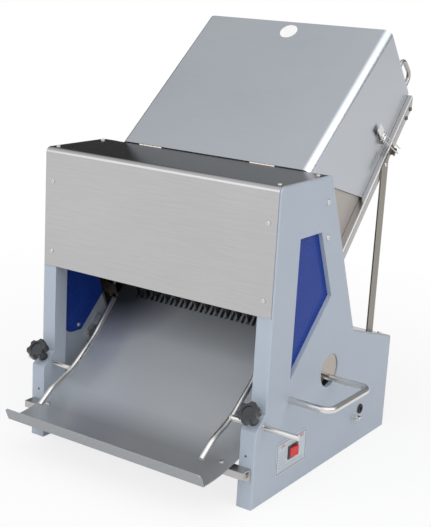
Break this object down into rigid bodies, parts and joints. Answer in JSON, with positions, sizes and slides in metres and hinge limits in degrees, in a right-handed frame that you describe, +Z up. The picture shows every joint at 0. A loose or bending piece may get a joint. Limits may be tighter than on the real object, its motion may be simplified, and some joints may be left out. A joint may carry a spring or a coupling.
{
  "type": "bread slicer",
  "caption": "Bench-top gravity-feed bread slicer: two blade frames between painted side frames, a hooded sloping feed pan with pusher, and a curved discharge tray.",
  "frame": {"origin": "middle of the footprint, on the surface it stands on", "axes": "+X to the operator's right, +Y to the rear, +Z up; the tray points to -Y"},
  "size_m": [0.684, 0.7226, 0.8003],
  "materials": {
    "frame_paint": "satin paint",
    "stainless": "brushed",
    "blue_panel": "gloss paint",
    "bright_steel": "polished",
    "black_plastic": "matt",
    "red_plastic": "gloss",
    "plated_steel": "zinc plated",
    "blade_steel": "ground",
    "aluminium": "satin",
    "cast_iron": "painted cast",
    "belt_rubber": "matt",
    "bronze": "plain",
    "switch_plate": "anodised"
  },
  "bodies": {
    "base": {"right_side_frame": "frame_paint", "left_side_frame": "frame_paint", "right_window_panel": "blue_panel", "left_window_panel": "blue_panel", "front_cover": "stainless", "rear_cover": "stainless", "discharge_slide": "stainless", "slide_rest_bar": "plated_steel", "tray_bar": "stainless", "feed_pan": "stainless", "struts": "stainless", "spacers": "plated_steel", "inner_feed_plates": "stainless", "hinge_fixed_leaves": "stainless", "hinge_pins": "bright_steel", "latch_keepers": "plated_steel", "right_handle": "bright_steel", "left_handle": "bright_steel", "handle_nuts": "bright_steel", "switch_plate": "switch_plate", "switch_body": "black_plastic", "cable_grommet": "black_plastic", "earth_terminal": "bright_steel", "lower_guide_plates": "plated_steel", "upper_guide_blocks": "plated_steel", "guide_bushes": "bronze", "crank_bearings": "cast_iron", "drive_belt": "belt_rubber", "motor_body": "cast_iron", "motor_fan_cover": "black_plastic", "base_plate": "plated_steel", "small_screws": "bright_steel", "side_screws": "bright_steel", "hex_bolts": "plated_steel"},
    "hood": {"hood": "stainless", "hinge_moving_leaves": "stainless", "latch_bases": "stainless"},
    "right_lever": {"right_latch_lever": "stainless"},
    "left_lever": {"left_latch_lever": "stainless"},
    "right_bail": {"right_latch_bail": "bright_steel"},
    "left_bail": {"left_latch_bail": "bright_steel"},
    "pusher": {"pusher": "stainless"},
    "right_guide": {"right_guide": "bright_steel"},
    "left_guide": {"left_guide": "bright_steel"},
    "right_knob": {"right_knob": "black_plastic"},
    "left_knob": {"left_knob": "black_plastic"},
    "rocker": {"switch_rocker": "red_plastic"},
    "crank": {"crankshaft": "plated_steel", "crank_pulley": "cast_iron", "eccentrics": "plated_steel"},
    "rotor": {"motor_shaft": "plated_steel", "motor_pulley": "cast_iron"},
    "front_rods": {"front_con_rods": "aluminium"},
    "rear_rods": {"rear_con_rods": "aluminium"},
    "front_blade_frame": {"front_blade_bars": "aluminium", "front_guide_rods": "bright_steel", "front_blades": "blade_steel"},
    "rear_blade_frame": {"rear_blade_bars": "aluminium", "rear_guide_rods": "bright_steel", "rear_blades": "blade_steel"}
  },
  "joints": [
    {"name": "hood_hinge", "type": "hinge", "parent": "base", "child": "hood", "pos_m": [0, -0.05861, 0.56], "axis": [1, 0, 0], "range_deg": [0, 90]},
    {"name": "pusher_slide", "type": "slide", "parent": "base", "child": "pusher", "axis": [0, -0.6639, -0.7478], "range_m": [0, 0.4]},
    {"name": "right_guide_slide", "type": "slide", "parent": "base", "child": "right_guide", "axis": [1, 0, 0], "range_m": [-0.065, 0.025]},
    {"name": "left_guide_slide", "type": "slide", "parent": "base", "child": "left_guide", "axis": [1, 0, 0], "range_m": [-0.03, 0.025]},
    {"name": "right_knob_turn", "type": "hinge", "parent": "base", "child": "right_knob", "pos_m": [0.2395, -0.23657, 0.15589], "axis": [0, -0.6508, 0.7593], "continuous": true},
    {"name": "left_knob_turn", "type": "hinge", "parent": "base", "child": "left_knob", "pos_m": [-0.2395, -0.23657, 0.15589], "axis": [0, -0.6508, 0.7593], "continuous": true},
    {"name": "rocker_tilt", "type": "hinge", "parent": "base", "child": "rocker", "pos_m": [0.255, -0.12411, 0.0705], "axis": [0, 0, 1], "range_deg": [0, 20]},
    {"name": "crank_turn", "type": "hinge", "parent": "base", "child": "crank", "pos_m": [0, 0.04824, 0.10914], "axis": [1, 0, 0], "continuous": true},
    {"name": "motor_turn", "type": "hinge", "parent": "base", "child": "rotor", "pos_m": [0, 0.18639, 0.105], "axis": [1, 0, 0], "continuous": true},
    {"name": "front_blade_slide", "type": "slide", "parent": "base", "child": "front_blade_frame", "axis": [0, -0.3951, 0.9187], "range_m": [-0.013, 0.013]},
    {"name": "rear_blade_slide", "type": "slide", "parent": "base", "child": "rear_blade_frame", "axis": [0, -0.3951, 0.9187], "range_m": [-0.013, 0.013]},
    {"name": "front_rod_turn", "type": "hinge", "parent": "crank", "child": "front_rods", "pos_m": [0, 0.03629, 0.10401], "axis": [1, 0, 0], "continuous": true},
    {"name": "rear_rod_turn", "type": "hinge", "parent": "crank", "child": "rear_rods", "pos_m": [0, 0.06018, 0.11428], "axis": [1, 0, 0], "continuous": true},
    {"name": "right_lever_turn", "type": "hinge", "parent": "hood", "child": "right_lever", "pos_m": [0.216, 0.22118, 0.59498], "axis": [0, 0.6639, 0.7478], "range_deg": [0, 110]},
    {"name": "right_bail_turn", "type": "hinge", "parent": "right_lever", "child": "right_bail", "pos_m": [0.216, 0.21445, 0.60096], "axis": [0, 0.6639, 0.7478], "range_deg": [-110, 0]},
    {"name": "left_lever_turn", "type": "hinge", "parent": "hood", "child": "left_lever", "pos_m": [-0.216, 0.22118, 0.59498], "axis": [0, -0.6639, -0.7478], "range_deg": [0, 110]},
    {"name": "left_bail_turn", "type": "hinge", "parent": "left_lever", "child": "left_bail", "pos_m": [-0.216, 0.21445, 0.60096], "axis": [0, -0.6639, -0.7478], "range_deg": [-110, 0]}
  ],
  "couplings": [
    {"joint": "motor_turn", "follows": "crank_turn", "ratio": 3.0375},
    {"joint": "front_rod_turn", "follows": "crank_turn", "ratio": -1},
    {"joint": "rear_rod_turn", "follows": "crank_turn", "ratio": -1},
    {"joint": "rear_blade_slide", "follows": "front_blade_slide", "ratio": -1},
    {"joint": "right_bail_turn", "follows": "right_lever_turn", "ratio": -1},
    {"joint": "left_bail_turn", "follows": "left_lever_turn", "ratio": -1}
  ]
}
